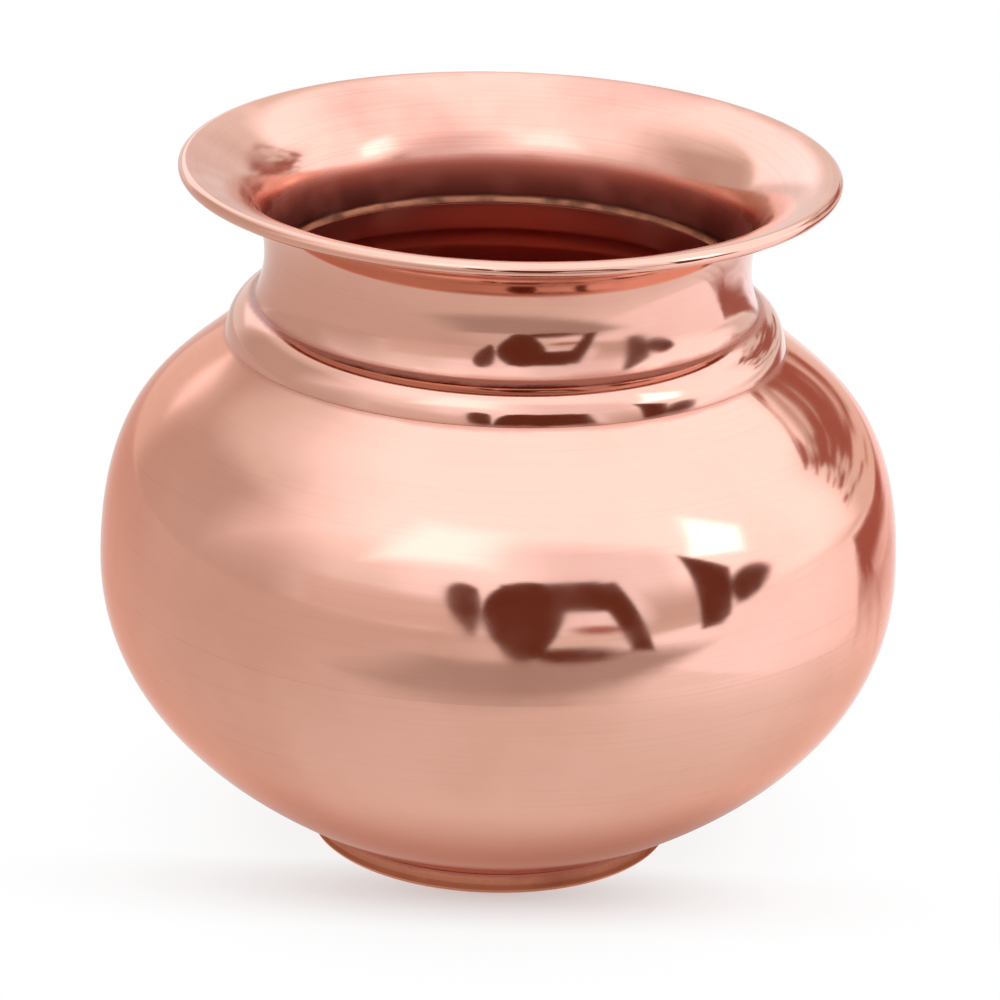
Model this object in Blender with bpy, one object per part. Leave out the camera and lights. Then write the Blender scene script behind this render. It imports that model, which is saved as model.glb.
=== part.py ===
"""A lota: a round-bellied copper water pot with a narrow neck and a wide, wired lip.

Every piece is turned about the z axis. The pot stands on its foot ring at z = 0. Sizes are in metres.
An outline is a list of (radius, height) points, and a sheet's path runs along its outer face, upwards
from the foot, so that the sheet's thickness lies on the path's left.
"""

import math

import bmesh
import bpy
from mathutils import Vector

# Sheet, wire and fits
SHEET = 0.0005
CLEARANCE = 0.0003
WIRE_RADIUS = 0.00025
BRAZE_LEG = 0.0009
BRAZE_HOLLOW = 0.0003

# Foot ring
FOOT_RADIUS = 0.0272
FOOT_WIDTH = 0.0018
FOOT_HEIGHT = 0.0029
FOOT_CHAMFER = 0.0004

# Lower bowl, from its flat base to the belly seam
BASE_BEND_RADIUS = 0.0100
BASE_BEND_ANGLE = math.radians(27)
BOWL_DEPTH = 0.0411
BOWL_BASE_PULL = 0.0260
BOWL_SIDE_PULL = 0.0153
BELLY_RADIUS = 0.0600
SEAM_LAP = 0.0050

# Shoulder, from the belly seam to the neck's waist
SHOULDER_RISE = 0.0472
SHOULDER_SIDE_PULL = 0.0260
SHOULDER_TOP_PULL = 0.0120
SHOULDER_TOP_SLOPE = math.radians(50)
SPIGOT_DROP = 0.0025

# Neck root: a sweep, a crease, and a round collar whose edge is turned down on the shoulder
NECK_RADIUS = 0.0361
NECK_SWEEP_RADIUS = 0.0152
NECK_SWEEP_ANGLE = math.radians(24)
CREASE_RADIUS = 0.0006
COLLAR_TOP_SLOPE = math.radians(20)
COLLAR_RADIUS = 0.0058
COLLAR_EDGE_SLOPE = math.radians(75)
COLLAR_EDGE_HEIGHT = 0.0001

# Lip and its rolled edge
LIP_REACH = 0.01175
LIP_RISE = 0.0141
LIP_WAIST_PULL = 0.0070
LIP_EDGE_PULL = 0.0085
LIP_EDGE_SLOPE = math.radians(10)
CURL_ANGLE = math.radians(270)

# Roundness of the turned faces
SEGMENTS = 48
ARC_STEP = math.radians(18)
CURL_STEP = math.radians(45)
BOWL_POINTS = 11
SHOULDER_POINTS = 9
LIP_POINTS = 7
WIRE_POINTS = 8
SHARP_ANGLE = math.radians(35)
MERGE_DISTANCE = 1e-6

# Colours and roughness of the metals
COPPER = (0.76, 0.43, 0.33, 1.0)
TARNISHED_COPPER = (0.45, 0.18, 0.11, 1.0)
BRASS_FILLER = (0.74, 0.55, 0.26, 1.0)
POLISHED = 0.18
DRAWN = 0.30
TARNISHED = 0.35
AS_BRAZED = 0.45


def direction(heading):
    """Unit vector at this angle from the radius."""
    return Vector((math.cos(heading), math.sin(heading)))


def left_of(vector):
    """The same vector turned a quarter turn anticlockwise."""
    return Vector((-vector.y, vector.x))


def turn(start, heading, radius, angle, step=ARC_STEP):
    """Points after start on an arc that leaves it along heading. A negative angle turns right."""
    side = math.copysign(1.0, angle)
    centre = start + left_of(direction(heading)) * radius * side
    count = max(1, round(abs(angle) / step))
    return [
        centre - left_of(direction(heading + angle * i / count)) * radius * side
        for i in range(1, count + 1)
    ]


def bezier(start, start_pull, end_pull, end, count):
    """Points from start to end on a cubic curve with these control points, both ends included."""
    points = []
    for i in range(count):
        t = i / (count - 1)
        s = 1 - t
        points.append(start * s**3 + start_pull * 3 * s * s * t + end_pull * 3 * s * t * t + end * t**3)
    return points


def offset(path, distance):
    """The path moved this far to its left, with its corners mitred."""
    sides = [left_of((b - a).normalized()) for a, b in zip(path, path[1:])]
    moved = []
    for i, point in enumerate(path):
        before = sides[max(i - 1, 0)]
        after = sides[min(i, len(sides) - 1)]
        moved.append(point + (before + after) * distance / (1 + before.dot(after)))
    return moved


def length_of(path):
    """Length of a path along its points."""
    return sum((b - a).length for a, b in zip(path, path[1:]))


def cut(path, length):
    """The first stretch of the path, of this length."""
    kept = [path[0]]
    remaining = length
    for a, b in zip(path, path[1:]):
        side = (b - a).length
        if side >= remaining:
            return kept + [a + (b - a) * remaining / side]
        kept.append(b)
        remaining -= side
    return kept


def sheet_outline(path, skew=0.0):
    """Outline of a sheet whose outer face is the path. Its inner face starts this much further along."""
    inner = offset(path, SHEET)
    inner[0] += (inner[1] - inner[0]).normalized() * skew
    return path + inner[::-1]


def turned(name, outline, colour, roughness, closed=True):
    """One object made by turning an outline about z. An open outline starts and ends on the axis."""
    bm = bmesh.new()
    corners = [bm.verts.new((point.x, 0.0, point.y)) for point in outline]
    edges = [bm.edges.new(pair) for pair in zip(corners, corners[1:])]
    if closed:
        edges.append(bm.edges.new((corners[-1], corners[0])))
    bmesh.ops.spin(
        bm,
        geom=corners + edges,
        axis=(0.0, 0.0, 1.0),
        cent=(0.0, 0.0, 0.0),
        angle=math.tau,
        steps=SEGMENTS,
        use_merge=True,
    )
    bmesh.ops.remove_doubles(bm, verts=bm.verts, dist=MERGE_DISTANCE)
    bmesh.ops.recalc_face_normals(bm, faces=bm.faces)
    mesh = bpy.data.meshes.new(name)
    bm.to_mesh(mesh)
    bm.free()
    mesh.shade_smooth()
    mesh.set_sharp_from_angle(angle=SHARP_ANGLE)
    mesh.materials.append(metal(name, colour, roughness))
    piece = bpy.data.objects.new(name, mesh)
    bpy.context.scene.collection.objects.link(piece)
    return piece


def metal(name, colour, roughness):
    """A plain metal finish for one piece."""
    finish = bpy.data.materials.new(name + "_metal")
    finish.use_nodes = True
    shader = finish.node_tree.nodes["Principled BSDF"]
    shader.inputs["Base Color"].default_value = colour
    shader.inputs["Metallic"].default_value = 1.0
    shader.inputs["Roughness"].default_value = roughness
    return finish


def base_centre():
    """Centre of the bend between the bowl's flat base and its side, which meets the foot ring's top edge."""
    reach = BASE_BEND_RADIUS * math.sin(BASE_BEND_ANGLE)
    drop = math.sqrt((BASE_BEND_RADIUS + CLEARANCE) ** 2 - reach**2)
    return Vector((FOOT_RADIUS - reach, FOOT_HEIGHT + drop))


def under_base(radius, gap):
    """Point below the base bend at this radius and this far from the bowl."""
    centre = base_centre()
    drop = math.sqrt((BASE_BEND_RADIUS + gap) ** 2 - (radius - centre.x) ** 2)
    return Vector((radius, centre.y - drop))


def base_path():
    """The bowl's outer face from the axis to the end of the base bend."""
    centre = base_centre()
    flat_end = Vector((centre.x, centre.y - BASE_BEND_RADIUS))
    return [Vector((0.0, flat_end.y)), flat_end] + turn(flat_end, 0.0, BASE_BEND_RADIUS, BASE_BEND_ANGLE)


def seam_height():
    """Height of the belly seam, at the pot's widest place."""
    return FOOT_HEIGHT + BOWL_DEPTH


def collar_skew():
    """How much further down the collar's outer face reaches, so that its edge lies along the shoulder."""
    return SHEET * math.tan(math.pi / 2 - COLLAR_EDGE_SLOPE + SHOULDER_TOP_SLOPE)


def neck_root_path():
    """The neck's outer face from the collar's edge over the crease and up to the waist."""
    waist = Vector((NECK_RADIUS, seam_height() + SHOULDER_RISE))
    heading = -math.pi / 2
    path = [waist] + turn(waist, heading, NECK_SWEEP_RADIUS, NECK_SWEEP_ANGLE)
    heading += NECK_SWEEP_ANGLE
    path += turn(path[-1], heading, CREASE_RADIUS, -COLLAR_TOP_SLOPE - heading)
    path += turn(path[-1], -COLLAR_TOP_SLOPE, COLLAR_RADIUS, COLLAR_TOP_SLOPE - COLLAR_EDGE_SLOPE)
    path.append(path[-1] + direction(-COLLAR_EDGE_SLOPE) * (COLLAR_EDGE_HEIGHT + collar_skew()))
    return path[::-1]


def seat_path():
    """Where the shoulder's outer face runs under the collar and up inside the neck."""
    return offset(neck_root_path(), SHEET + CLEARANCE)


def spigot_reach():
    """Length along the seat, from the collar's edge, at which the shoulder ends inside the neck."""
    return length_of(seat_path()) - SPIGOT_DROP


def shoulder_path():
    """The shoulder's outer face from the belly seam to the collar's edge, then on inside the neck."""
    inward = direction(math.pi - SHOULDER_TOP_SLOPE)
    below = left_of(inward)
    across = left_of(direction(math.pi - COLLAR_EDGE_SLOPE))
    under_edge = (SHEET + CLEARANCE - CLEARANCE * below.dot(across)) / inward.dot(across)
    top = neck_root_path()[0] + below * CLEARANCE + inward * under_edge
    seam = Vector((BELLY_RADIUS, seam_height() + CLEARANCE))
    side_pull = seam + Vector((0.0, SHOULDER_SIDE_PULL))
    dome = bezier(seam, side_pull, top - inward * SHOULDER_TOP_PULL, top, SHOULDER_POINTS)
    return dome + cut(seat_path(), spigot_reach())[1:]


def bowl_path():
    """The bowl's outer face from the axis to the belly seam, then on inside the shoulder."""
    base = base_path()
    seam = Vector((BELLY_RADIUS, seam_height()))
    base_pull = base[-1] + direction(BASE_BEND_ANGLE) * BOWL_BASE_PULL
    side_pull = seam - Vector((0.0, BOWL_SIDE_PULL))
    side = bezier(base[-1], base_pull, side_pull, seam, BOWL_POINTS)
    step = Vector((BELLY_RADIUS - SHEET - CLEARANCE, seam.y))
    tongue = cut(offset(shoulder_path(), SHEET + CLEARANCE), SEAM_LAP)
    return base + side[1:] + [step] + tongue[1:]


def lip_edge():
    """Point on the lip's underside where its rolled edge starts."""
    return neck_root_path()[-1] + Vector((LIP_REACH, LIP_RISE))


def curl_centre():
    """Middle of the lip's rolled edge, where the wire lies."""
    return lip_edge() - left_of(direction(LIP_EDGE_SLOPE)) * (WIRE_RADIUS + CLEARANCE)


def lip_path():
    """The underside of the lip from above the waist, then the inside of its curl."""
    waist = neck_root_path()[-1]
    edge = lip_edge()
    waist_pull = waist + Vector((0.0, LIP_WAIST_PULL))
    edge_pull = edge - direction(LIP_EDGE_SLOPE) * LIP_EDGE_PULL
    flare = bezier(waist, waist_pull, edge_pull, edge, LIP_POINTS)
    return flare[1:] + turn(edge, LIP_EDGE_SLOPE, WIRE_RADIUS + CLEARANCE, -CURL_ANGLE, CURL_STEP)


def braze_outline(corner, along, across):
    """Three-sided filler with a hollow face, set in a corner whose two walls run along and across."""
    hollow = corner + (along + across) * BRAZE_HOLLOW
    return [corner, corner + along * BRAZE_LEG, hollow, corner + across * BRAZE_LEG]


def lap_braze_outline(wall, lap):
    """Filler beyond the end of a lap of this length, whose outer face runs along the wall path."""
    end = cut(wall, lap)
    along = (end[-1] - end[-2]).normalized()
    return braze_outline(end[-1] + along * CLEARANCE, along, left_of(along))


def make_foot_ring():
    """Low ring under the bend of the bowl's base."""
    inner = FOOT_RADIUS - FOOT_WIDTH
    outline = [
        under_base(FOOT_RADIUS, CLEARANCE),
        under_base(FOOT_RADIUS - FOOT_WIDTH / 2, CLEARANCE),
        under_base(inner, CLEARANCE),
        Vector((inner, FOOT_CHAMFER)),
        Vector((inner + FOOT_CHAMFER, 0.0)),
        Vector((FOOT_RADIUS - FOOT_CHAMFER, 0.0)),
        Vector((FOOT_RADIUS, FOOT_CHAMFER)),
    ]
    return turned("foot_ring", outline, TARNISHED_COPPER, TARNISHED)


def make_foot_braze():
    """Filler in the corner between the foot ring's inner wall and the bowl's base."""
    corner = under_base(FOOT_RADIUS - FOOT_WIDTH - CLEARANCE, CLEARANCE)
    outline = braze_outline(corner, Vector((-1.0, 0.0)), Vector((0.0, -1.0)))
    return turned("foot_braze", outline, BRASS_FILLER, AS_BRAZED)


def make_lower_bowl():
    """Bowl with a closed base, and a stepped tongue that laps inside the shoulder."""
    return turned("lower_bowl", sheet_outline(bowl_path()), COPPER, POLISHED, closed=False)


def make_belly_braze():
    """Filler inside the pot, along the top of the bowl's tongue."""
    wall = offset(shoulder_path(), SHEET + CLEARANCE)
    return turned("belly_braze", lap_braze_outline(wall, SEAM_LAP), BRASS_FILLER, AS_BRAZED)


def make_shoulder_shell():
    """Dome from the belly seam to the seat of the neck, with a spigot that stands inside the neck."""
    return turned("shoulder_shell", sheet_outline(shoulder_path()), COPPER, POLISHED)


def make_neck_braze():
    """Filler inside the neck, along the top of the shoulder's spigot."""
    return turned("neck_braze", lap_braze_outline(seat_path(), spigot_reach()), BRASS_FILLER, AS_BRAZED)


def make_neck():
    """Collar, waist, flared lip and rolled edge, spun from one sheet."""
    return turned("neck", sheet_outline(neck_root_path() + lip_path(), collar_skew()), COPPER, POLISHED)


def make_rim_wire():
    """Ring of wire that stiffens the lip's rolled edge."""
    centre = curl_centre()
    outline = [
        centre + direction(math.tau * i / WIRE_POINTS) * WIRE_RADIUS for i in range(WIRE_POINTS)
    ]
    return turned("rim_wire", outline, COPPER, DRAWN)


def main():
    """Build the pot from the foot up, under one empty that stands for the whole."""
    for item in list(bpy.data.objects):
        bpy.data.objects.remove(item, do_unlink=True)
    pot = bpy.data.objects.new("lota", None)
    bpy.context.scene.collection.objects.link(pot)
    makers = (
        make_foot_ring,
        make_foot_braze,
        make_lower_bowl,
        make_belly_braze,
        make_shoulder_shell,
        make_neck_braze,
        make_neck,
        make_rim_wire,
    )
    for make in makers:
        make().parent = pot


main()
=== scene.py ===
"""Looks of a polished copper lota: its spun sheets, their finishes, and a plain studio round it.

Every piece is turned about the z axis, in metres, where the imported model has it. An outline is a list of
(radius, height) points. A sheet's path runs along its outer face, upwards from the foot, so that the sheet's
thickness lies on the path's left.
"""

import logging
import math
from dataclasses import dataclass, field, replace
from enum import Enum

import bmesh
import bpy
from mathutils import Matrix, Vector


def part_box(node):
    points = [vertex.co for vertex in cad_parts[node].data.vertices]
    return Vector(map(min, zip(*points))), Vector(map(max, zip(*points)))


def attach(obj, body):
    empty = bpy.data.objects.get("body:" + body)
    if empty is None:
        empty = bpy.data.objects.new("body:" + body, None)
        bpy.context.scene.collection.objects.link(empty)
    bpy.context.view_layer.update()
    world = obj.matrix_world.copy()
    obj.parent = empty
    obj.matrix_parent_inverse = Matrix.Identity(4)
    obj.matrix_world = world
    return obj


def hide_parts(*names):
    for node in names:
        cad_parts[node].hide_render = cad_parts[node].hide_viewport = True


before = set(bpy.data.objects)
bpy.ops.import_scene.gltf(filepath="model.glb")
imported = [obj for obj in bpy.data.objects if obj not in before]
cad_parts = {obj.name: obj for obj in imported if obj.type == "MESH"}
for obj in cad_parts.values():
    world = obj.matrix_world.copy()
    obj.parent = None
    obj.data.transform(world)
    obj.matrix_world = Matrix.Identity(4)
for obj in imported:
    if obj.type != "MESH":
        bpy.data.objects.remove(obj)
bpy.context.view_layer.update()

BODY = "root"
IMAGE_SIDE = 1000
log = logging.getLogger("lota")

Colour = tuple[float, float, float]
Socket = bpy.types.NodeSocket


class Slot(Enum):
    """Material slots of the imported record."""

    POLISHED = "polished_copper"
    TARNISHED = "tarnished_copper"
    WIRE = "copper_wire"
    FILLER = "brass_filler"


class Outline(Enum):
    """How a studio card is cut."""

    SQUARE = "square"
    ROUND = "round"


def direction(heading: float) -> Vector:
    """Unit vector at this angle from the radius."""
    return Vector((math.cos(heading), math.sin(heading)))


def left_of(vector: Vector) -> Vector:
    """The same vector turned a quarter turn anticlockwise."""
    return Vector((-vector.y, vector.x))


class Path:
    """A run of (radius, height) points, drawn from its start like a pen stroke."""

    ARC_STEP = math.radians(4)
    CURVE_POINTS = 64

    def __init__(self, start: Vector, heading: float = 0.0) -> None:
        """Puts the pen down.

        Args:
            start: First point.
            heading: Angle of the stroke from the radius, in radians.
        """
        self.points: list[Vector] = [start]
        self.heading = heading

    @property
    def end(self) -> Vector:
        """The last point drawn."""
        return self.points[-1]

    def line(self, length: float) -> "Path":
        """Draws straight on by this length."""
        self.points.append(self.end + direction(self.heading) * length)
        return self

    def bend(self, radius: float, angle: float) -> "Path":
        """Draws an arc that leaves along the present heading.

        Args:
            radius: Radius of the arc.
            angle: How far the heading turns. A negative angle turns right.

        Returns:
            The path itself.
        """
        side = math.copysign(1.0, angle)
        centre = self.end + left_of(direction(self.heading)) * radius * side
        count = max(2, math.ceil(abs(angle) / self.ARC_STEP))
        for i in range(1, count + 1):
            spoke = left_of(direction(self.heading + angle * i / count))
            self.points.append(centre - spoke * radius * side)
        self.heading += angle
        return self

    def curve(self, pull: float, end: Vector, end_heading: float, end_pull: float) -> "Path":
        """Draws a cubic curve.

        Args:
            pull: How strongly the curve holds to the present heading.
            end: Where the curve ends.
            end_heading: Heading at its end.
            end_pull: How strongly it holds to that heading.

        Returns:
            The path itself.
        """
        start = self.end
        leave = start + direction(self.heading) * pull
        arrive = end - direction(end_heading) * end_pull
        for i in range(1, self.CURVE_POINTS + 1):
            t = i / self.CURVE_POINTS
            s = 1 - t
            self.points.append(start * s**3 + leave * 3 * s * s * t + arrive * 3 * s * t * t + end * t**3)
        self.heading = end_heading
        return self


def moved_left(points: list[Vector], distance: float) -> list[Vector]:
    """A run of points moved to its left, with its corners mitred.

    Args:
        points: The run.
        distance: How far it moves.

    Returns:
        The moved run, with as many points.
    """
    sides = [left_of((b - a).normalized()) for a, b in zip(points, points[1:])]
    moved = []
    for i, point in enumerate(points):
        before = sides[max(i - 1, 0)]
        after = sides[min(i, len(sides) - 1)]
        moved.append(point + (before + after) * distance / (1 + before.dot(after)))
    return moved


def length_of(points: list[Vector]) -> float:
    """Length of a run of points."""
    return sum((b - a).length for a, b in zip(points, points[1:]))


def first_part(points: list[Vector], length: float) -> list[Vector]:
    """The first stretch of a run of points.

    Args:
        points: The run.
        length: Length of the stretch.

    Returns:
        The points of the stretch.
    """
    kept = [points[0]]
    remaining = length
    for a, b in zip(points, points[1:]):
        side = (b - a).length
        if side >= remaining:
            return kept + [a + (b - a) * remaining / side]
        kept.append(b)
        remaining -= side
    return kept


@dataclass(frozen=True)
class Gauge:
    """Sizes that the spun sheets and their laps share."""

    sheet: float = 0.0005
    clearance: float = 0.0003
    seat_gap: float = 0.0001
    hairline: float = 0.00001
    edge_radius: float = 0.00015
    braze_leg: float = 0.0009
    braze_hollow: float = 0.0003
    braze_steps: int = 8

    def outline(self, path: list[Vector], skew: float = 0.0) -> list[Vector]:
        """Closed outline of a sheet.

        Args:
            path: The sheet's outer face.
            skew: How much further along its inner face starts.

        Returns:
            The outer face, then the inner face backwards.
        """
        inner = moved_left(path, self.sheet)
        inner[0] += (inner[1] - inner[0]).normalized() * skew
        return path + inner[::-1]

    def braze(self, corner: Vector, along: Vector, across: Vector) -> list[Vector]:
        """Outline of filler set in a corner, with a hollow face.

        Args:
            corner: Where the two walls meet.
            along: Direction of one wall.
            across: Direction of the other wall.

        Returns:
            The closed outline.
        """
        start = corner + along * self.braze_leg
        end = corner + across * self.braze_leg
        hollow = corner + (along + across) * self.braze_hollow
        pull = hollow * 2 - (start + end) / 2
        face = []
        for i in range(self.braze_steps + 1):
            t = i / self.braze_steps
            face.append(start * (1 - t) ** 2 + pull * 2 * t * (1 - t) + end * t**2)
        return [corner] + face

    def lap_braze(self, wall: list[Vector], lap: float) -> list[Vector]:
        """Outline of filler beyond the end of a lap.

        Args:
            wall: The wall that the lap runs along.
            lap: Length of the lap.

        Returns:
            The closed outline.
        """
        end = first_part(wall, lap)
        along = (end[-1] - end[-2]).normalized()
        return self.braze(end[-1] + along * self.clearance, along, left_of(along))


class Lathe:
    """Turns outlines into pieces, by the steps that one takes by hand."""

    STEPS = 192
    MERGE = 1e-7
    SMOOTH_ANGLE = math.radians(35)
    ROUND_SEGMENTS = 3
    ROUND_PROFILE = 0.5
    NEAR_SHARE = 0.05
    LEVEL = 0.02

    def turn(self, name: str, outline: list[Vector], closed: bool = True) -> bpy.types.Object:
        """Draws an outline point by point and spins it about the z axis.

        Args:
            name: Name of the piece.
            outline: The outline's points. An open one starts and ends on the axis.
            closed: Whether the outline comes back to its start.

        Returns:
            The piece, at the origin, with its place in its mesh.
        """
        bpy.ops.object.select_all(action="DESELECT")
        bpy.ops.mesh.primitive_plane_add(size=outline[1].length, location=(0.0, 0.0, 0.0))
        piece = bpy.context.object
        piece.name = name
        piece.data.name = name
        bpy.ops.object.mode_set(mode="EDIT")
        bpy.ops.mesh.select_mode(type="VERT")
        bpy.ops.mesh.select_all(action="SELECT")
        bpy.ops.mesh.merge(type="CENTER")
        bpy.ops.transform.translate(value=(outline[0].x, 0.0, outline[0].y))
        stops = outline + outline[:1] if closed else outline
        for a, b in zip(stops, stops[1:]):
            step = b - a
            bpy.ops.mesh.extrude_region_move(TRANSFORM_OT_translate={"value": (step.x, 0.0, step.y)})
        bpy.ops.mesh.select_all(action="SELECT")
        bpy.ops.mesh.remove_doubles(threshold=self.MERGE)
        bpy.ops.mesh.select_all(action="SELECT")
        bpy.ops.mesh.spin(steps=self.STEPS, angle=math.tau, center=(0.0, 0.0, 0.0), axis=(0.0, 0.0, 1.0))
        bpy.ops.mesh.select_all(action="SELECT")
        bpy.ops.mesh.remove_doubles(threshold=self.MERGE)
        bpy.ops.mesh.select_all(action="SELECT")
        bpy.ops.mesh.normals_make_consistent(inside=False)
        bpy.ops.object.mode_set(mode="OBJECT")
        return piece

    def round_off(self, piece: bpy.types.Object, rings: list[Vector], width: float) -> None:
        """Rounds the ring edges of a piece at these (radius, height) places.

        Args:
            piece: The turned piece.
            rings: Places of the edges.
            width: How far the rounding reaches on each side.
        """
        near = width * self.NEAR_SHARE
        bpy.ops.object.mode_set(mode="EDIT")
        bpy.ops.mesh.select_all(action="DESELECT")
        bpy.ops.mesh.select_mode(type="EDGE")
        mesh = bmesh.from_edit_mesh(piece.data)
        for edge in mesh.edges:
            places = [Vector((v.co.xy.length, v.co.z)) for v in edge.verts]
            edge.select = any(all((p - ring).length < near for p in places) for ring in rings)
        mesh.select_flush_mode()
        bmesh.update_edit_mesh(piece.data)
        shape = {"segments": self.ROUND_SEGMENTS, "profile": self.ROUND_PROFILE}
        bpy.ops.mesh.bevel(offset=width, affect="EDGES", **shape)
        bpy.ops.object.mode_set(mode="OBJECT")

    def finish_inside(
        self, piece: bpy.types.Object, finish: bpy.types.Material, top: float = math.inf
    ) -> None:
        """Gives the faces of a piece that look at the axis, or straight up, a second finish.

        Args:
            piece: The turned piece, which has its first finish.
            finish: The second finish.
            top: Height above which every face gets it.
        """
        piece.data.materials.append(finish)
        piece.active_material_index = len(piece.data.materials) - 1
        bpy.context.view_layer.objects.active = piece
        bpy.ops.object.mode_set(mode="EDIT")
        bpy.ops.mesh.select_mode(type="FACE")
        bpy.ops.mesh.select_all(action="DESELECT")
        mesh = bmesh.from_edit_mesh(piece.data)
        for face in mesh.faces:
            middle = face.calc_center_median()
            outward = face.normal.xy.dot(middle.xy.normalized())
            level = abs(outward) < self.LEVEL and face.normal.z > 0
            face.select = outward < -self.LEVEL or level or middle.z > top
        bmesh.update_edit_mesh(piece.data)
        bpy.ops.object.material_slot_assign()
        bpy.ops.object.mode_set(mode="OBJECT")

    def smooth(self, piece: bpy.types.Object) -> None:
        """Shades a piece smooth but for its sharp edges.

        Args:
            piece: The turned piece.
        """
        bpy.ops.object.select_all(action="DESELECT")
        piece.select_set(True)
        bpy.context.view_layer.objects.active = piece
        bpy.ops.object.shade_smooth_by_angle(angle=self.SMOOTH_ANGLE)


class Graph:
    """Short ways to add and join the nodes of a material."""

    def __init__(self, tree: bpy.types.NodeTree) -> None:
        """Keeps the tree that the nodes go in."""
        self.tree = tree

    def feed(self, socket: Socket, value: object) -> None:
        """Joins another socket to this one, or sets its constant.

        Args:
            socket: The socket to feed.
            value: The other socket, or the constant.
        """
        if isinstance(value, Socket):
            self.tree.links.new(value, socket)
        else:
            socket.default_value = value

    def node(self, kind: str, inputs: dict | None = None, **settings: object) -> bpy.types.Node:
        """Adds a node.

        Args:
            kind: The node's type without its prefix.
            inputs: Sockets or constants by input name or number.
            **settings: The node's own settings.

        Returns:
            The new node.
        """
        made = self.tree.nodes.new("ShaderNode" + kind)
        for key, value in settings.items():
            setattr(made, key, value)
        for key, value in (inputs or {}).items():
            self.feed(made.inputs[key], value)
        return made

    def math(self, operation: str, a: object, b: object = 0.0) -> Socket:
        """Result of one sum on sockets or constants."""
        return self.node("Math", {0: a, 1: b}, operation=operation).outputs[0]

    def spread(self, value: object, low: float, high: float, to_low: float, to_high: float) -> Socket:
        """A value eased from one range into another, and kept inside it."""
        inputs = {"Value": value, "From Min": low, "From Max": high, "To Min": to_low, "To Max": to_high}
        return self.node("MapRange", inputs, interpolation_type="SMOOTHSTEP").outputs["Result"]

    def mix(self, share: object, a: object, b: object) -> Socket:
        """A colour between two colours.

        Args:
            share: Share of the second, from 0 to 1.
            a: The first colour.
            b: The second colour.

        Returns:
            The mixed colour.
        """
        made = self.node("Mix", data_type="RGBA")
        self.feed(made.inputs["Factor"], share)
        for socket, value in zip([s for s in made.inputs if s.type == "RGBA"], (a, b)):
            self.feed(socket, value if isinstance(value, Socket) else (*value, 1.0))
        return next(s for s in made.outputs if s.type == "RGBA")

    def seen(self) -> Socket:
        """Tells rays that show the scene from rays that light it.

        Returns:
            1 for rays from the camera, from gloss and through glass, and 0 for others.
        """
        path = self.node("LightPath").outputs
        sight = self.math("MAXIMUM", path["Is Camera Ray"], path["Is Glossy Ray"])
        return self.math("MAXIMUM", sight, path["Is Transmission Ray"])


@dataclass(frozen=True)
class RingMark:
    """A ring on a turned piece: either painted shade in a crevice, in a matte brown, or a place that hands
    rub bright.
    """

    radius: float
    height: float
    width: float
    strength: float


@dataclass(frozen=True)
class RingStrength:
    """How wide and how strong such a ring is."""

    width: float
    strength: float

    def at(self, place: Vector) -> RingMark:
        """The ring through this (radius, height) place."""
        return RingMark(place.x, place.y, self.width, self.strength)


@dataclass(frozen=True)
class Spot:
    """What a finish reads at the point that it colours: its place on the turned piece, and two patterns."""

    place: Socket
    radius: Socket
    height: Socket
    rings: Socket
    smears: Socket


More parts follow.
